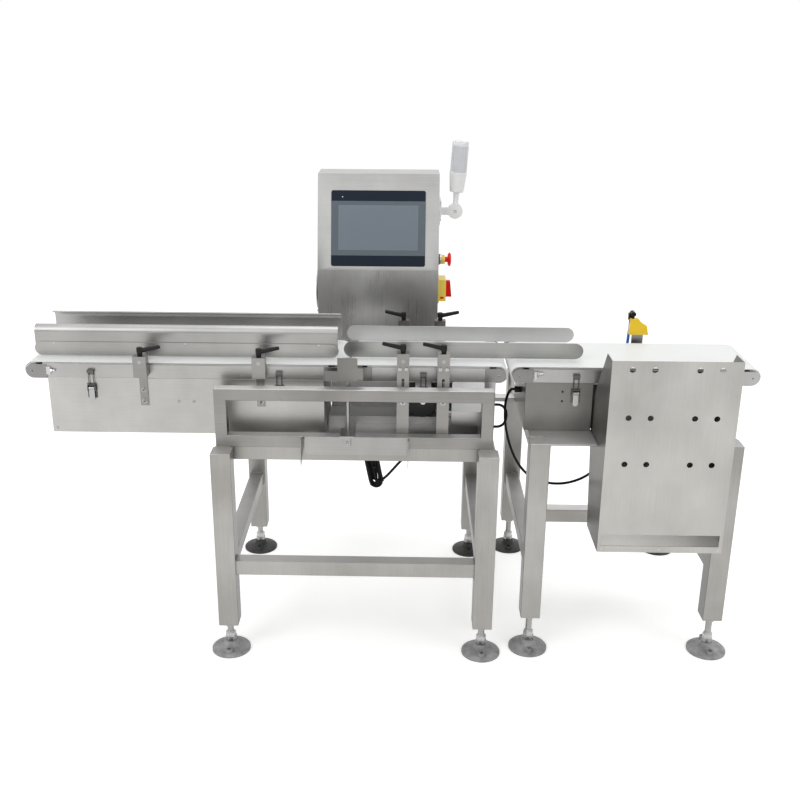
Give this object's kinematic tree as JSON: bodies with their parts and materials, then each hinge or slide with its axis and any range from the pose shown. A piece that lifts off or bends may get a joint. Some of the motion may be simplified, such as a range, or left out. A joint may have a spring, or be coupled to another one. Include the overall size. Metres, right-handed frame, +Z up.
{
  "type": "checkweigher",
  "caption": "Belt checkweigher: infeed, weigh and outfeed conveyors in line on leg stands, with side guides, a control cabinet with touch screen and a reject bin with air nozzle.",
  "frame": {"origin": "centre of the whole machine's box on the floor", "axes": "+X along the lane from infeed to outfeed, +Y from the bin side to the cabinet side, +Z up"},
  "size_m": [1.8258, 0.85, 1.24],
  "materials": {
    "steel": "brushed",
    "roller_steel": "turned",
    "belt": "satin",
    "aluminium": "milled",
    "black_metal": "satin",
    "black_plastic": "matt",
    "rubber": "matt",
    "hose": "satin",
    "yellow": "satin",
    "red": "satin",
    "lamp": "clear",
    "screen": "satin"
  },
  "bodies": {
    "frame": {"main_stand": "steel", "outfeed_stand": "steel", "levelling_feet": "black_plastic", "guard_frame": "steel", "weigh_tray": "steel", "infeed_box": "steel", "infeed_deck": "steel", "infeed_belt": "belt", "load_cell": "aluminium", "weigh_deck": "steel", "weigh_belt": "belt", "outfeed_box": "steel", "outfeed_deck": "steel", "outfeed_belt": "belt", "belt_drives": "black_metal", "belt_covers": "steel", "guide_posts": "steel", "latch_bases": "steel", "sensor_post": "steel", "reject_bin": "steel", "air_nozzle": "yellow", "air_hose": "hose", "control_cabinet": "steel", "touch_screen": "screen", "control_gear": "black_metal", "cabinet_fittings": "yellow", "cable_glands": "black_plastic", "weigh_lead": "rubber", "outfeed_lead": "rubber", "spare_lead": "rubber", "spare_hank": "rubber"},
    "infeed_drive_roller": {"infeed_drive_roller": "roller_steel"},
    "infeed_tail_roller": {"infeed_tail_roller": "roller_steel"},
    "infeed_motor_pulley": {"infeed_motor_pulley": "roller_steel"},
    "weigh_drive_roller": {"weigh_drive_roller": "roller_steel"},
    "weigh_tail_roller": {"weigh_tail_roller": "roller_steel"},
    "weigh_motor_pulley": {"weigh_motor_pulley": "roller_steel"},
    "outfeed_drive_roller": {"outfeed_drive_roller": "roller_steel"},
    "outfeed_tail_roller": {"outfeed_tail_roller": "roller_steel"},
    "outfeed_motor_pulley": {"outfeed_motor_pulley": "roller_steel"},
    "infeed_front_guide": {"infeed_front_guide": "steel"},
    "infeed_rear_guide": {"infeed_rear_guide": "steel"},
    "weigh_front_guide": {"weigh_front_guide": "steel"},
    "weigh_rear_guide": {"weigh_rear_guide": "steel"},
    "infeed_front_lever_1": {"infeed_front_lever_1": "black_plastic"},
    "infeed_front_lever_2": {"infeed_front_lever_2": "black_plastic"},
    "infeed_rear_lever_1": {"infeed_rear_lever_1": "black_plastic"},
    "infeed_rear_lever_2": {"infeed_rear_lever_2": "black_plastic"},
    "weigh_front_lever_1": {"weigh_front_lever_1": "black_plastic"},
    "weigh_front_lever_2": {"weigh_front_lever_2": "black_plastic"},
    "weigh_rear_lever_1": {"weigh_rear_lever_1": "black_plastic"},
    "weigh_rear_lever_2": {"weigh_rear_lever_2": "black_plastic"},
    "infeed_latch_1": {"infeed_latch_1": "steel"},
    "infeed_latch_2": {"infeed_latch_2": "steel"},
    "weigh_latch": {"weigh_latch": "steel"},
    "outfeed_latch": {"outfeed_latch": "steel"},
    "cabinet_door": {"cabinet_door": "steel"},
    "signal_lamp": {"signal_lamp": "lamp"},
    "stop_button": {"stop_button": "red"},
    "isolator_handle": {"isolator_handle": "red"}
  },
  "joints": [
    {"name": "infeed_drive_turn", "type": "hinge", "parent": "frame", "child": "infeed_drive_roller", "pos_m": [-0.1298, -0.132, 0.7292], "axis": [0, 1, 0], "continuous": true},
    {"name": "infeed_tail_turn", "type": "hinge", "parent": "frame", "child": "infeed_tail_roller", "pos_m": [-0.8912, -0.132, 0.7292], "axis": [0, 1, 0], "continuous": true},
    {"name": "infeed_motor_turn", "type": "hinge", "parent": "frame", "child": "infeed_motor_pulley", "pos_m": [-0.2598, -0.0075, 0.6502], "axis": [0, 1, 0], "continuous": true},
    {"name": "weigh_drive_turn", "type": "hinge", "parent": "frame", "child": "weigh_drive_roller", "pos_m": [0.2697, -0.132, 0.7292], "axis": [0, 1, 0], "continuous": true},
    {"name": "weigh_tail_turn", "type": "hinge", "parent": "frame", "child": "weigh_tail_roller", "pos_m": [-0.0807, -0.132, 0.7292], "axis": [0, 1, 0], "continuous": true},
    {"name": "weigh_motor_turn", "type": "hinge", "parent": "frame", "child": "weigh_motor_pulley", "pos_m": [0.0817, -0.0075, 0.6362], "axis": [0, 1, 0], "continuous": true},
    {"name": "outfeed_drive_turn", "type": "hinge", "parent": "frame", "child": "outfeed_drive_roller", "pos_m": [0.3188, -0.132, 0.7292], "axis": [0, 1, 0], "continuous": true},
    {"name": "outfeed_tail_turn", "type": "hinge", "parent": "frame", "child": "outfeed_tail_roller", "pos_m": [0.8912, -0.132, 0.7292], "axis": [0, 1, 0], "continuous": true},
    {"name": "outfeed_motor_turn", "type": "hinge", "parent": "frame", "child": "outfeed_motor_pulley", "pos_m": [0.4188, -0.0075, 0.6502], "axis": [0, 1, 0], "continuous": true},
    {"name": "infeed_front_guide_shift", "type": "slide", "parent": "frame", "child": "infeed_front_guide", "axis": [0, 1, 0], "range_m": [-0.035, 0.01]},
    {"name": "infeed_rear_guide_shift", "type": "slide", "parent": "frame", "child": "infeed_rear_guide", "axis": [0, 1, 0], "range_m": [-0.01, 0.03]},
    {"name": "weigh_front_guide_shift", "type": "slide", "parent": "frame", "child": "weigh_front_guide", "axis": [0, 1, 0], "range_m": [-0.035, 0.01]},
    {"name": "weigh_rear_guide_shift", "type": "slide", "parent": "frame", "child": "weigh_rear_guide", "axis": [0, 1, 0], "range_m": [-0.01, 0.03]},
    {"name": "infeed_front_lever_1_turn", "type": "hinge", "parent": "frame", "child": "infeed_front_lever_1", "pos_m": [-0.616, -0.26225, 0.776], "axis": [0, 0, 1], "range_deg": [-150, 0]},
    {"name": "infeed_front_lever_2_turn", "type": "hinge", "parent": "frame", "child": "infeed_front_lever_2", "pos_m": [-0.323, -0.26225, 0.776], "axis": [0, 0, 1], "range_deg": [-150, 0]},
    {"name": "infeed_rear_lever_1_turn", "type": "hinge", "parent": "frame", "child": "infeed_rear_lever_1", "pos_m": [-0.616, 0.03, 0.776], "axis": [0, 0, 1], "range_deg": [-150, 0]},
    {"name": "infeed_rear_lever_2_turn", "type": "hinge", "parent": "frame", "child": "infeed_rear_lever_2", "pos_m": [-0.323, 0.03, 0.776], "axis": [0, 0, 1], "range_deg": [0, 150]},
    {"name": "weigh_front_lever_1_turn", "type": "hinge", "parent": "frame", "child": "weigh_front_lever_1", "pos_m": [0.0315, -0.278, 0.795], "axis": [0, 0, 1], "range_deg": [0, 150]},
    {"name": "weigh_front_lever_2_turn", "type": "hinge", "parent": "frame", "child": "weigh_front_lever_2", "pos_m": [0.13, -0.278, 0.795], "axis": [0, 0, 1], "range_deg": [0, 150]},
    {"name": "weigh_rear_lever_1_turn", "type": "hinge", "parent": "frame", "child": "weigh_rear_lever_1", "pos_m": [0.0315, 0.03, 0.795], "axis": [0, 0, 1], "range_deg": [-150, 0]},
    {"name": "weigh_rear_lever_2_turn", "type": "hinge", "parent": "frame", "child": "weigh_rear_lever_2", "pos_m": [0.13, 0.03, 0.795], "axis": [0, 0, 1], "range_deg": [0, 150]},
    {"name": "infeed_latch_1_swing", "type": "hinge", "parent": "frame", "child": "infeed_latch_1", "pos_m": [-0.746, -0.253, 0.6862], "axis": [1, 0, 0], "range_deg": [-140, 0]},
    {"name": "infeed_latch_2_swing", "type": "hinge", "parent": "frame", "child": "infeed_latch_2", "pos_m": [-0.276, -0.253, 0.6862], "axis": [1, 0, 0], "range_deg": [-140, 0]},
    {"name": "weigh_latch_swing", "type": "hinge", "parent": "frame", "child": "weigh_latch", "pos_m": [0.082, -0.253, 0.6862], "axis": [1, 0, 0], "range_deg": [-140, 0]},
    {"name": "outfeed_latch_swing", "type": "hinge", "parent": "frame", "child": "outfeed_latch", "pos_m": [0.46, -0.253, 0.6862], "axis": [1, 0, 0], "range_deg": [-140, 0]},
    {"name": "door_swing", "type": "hinge", "parent": "frame", "child": "cabinet_door", "pos_m": [0.135, 0.416, 0.832], "axis": [0, 0, -1], "range_deg": [0, 120]},
    {"name": "lamp_fold", "type": "hinge", "parent": "frame", "child": "signal_lamp", "pos_m": [0.1775, 0.348, 1.041], "axis": [0, 1, 0], "range_deg": [0, 90]},
    {"name": "stop_press", "type": "slide", "parent": "frame", "child": "stop_button", "axis": [-1, 0, 0], "range_m": [0, 0.006]},
    {"name": "isolator_turn", "type": "hinge", "parent": "frame", "child": "isolator_handle", "pos_m": [0.153, 0.293, 0.822], "axis": [1, 0, 0], "range_deg": [0, 90]}
  ],
  "couplings": [
    {"joint": "infeed_tail_turn", "follows": "infeed_drive_turn", "ratio": 1},
    {"joint": "infeed_motor_turn", "follows": "infeed_drive_turn", "ratio": 1},
    {"joint": "weigh_tail_turn", "follows": "weigh_drive_turn", "ratio": 1},
    {"joint": "weigh_motor_turn", "follows": "weigh_drive_turn", "ratio": 1},
    {"joint": "outfeed_tail_turn", "follows": "outfeed_drive_turn", "ratio": 1},
    {"joint": "outfeed_motor_turn", "follows": "outfeed_drive_turn", "ratio": 1}
  ]
}
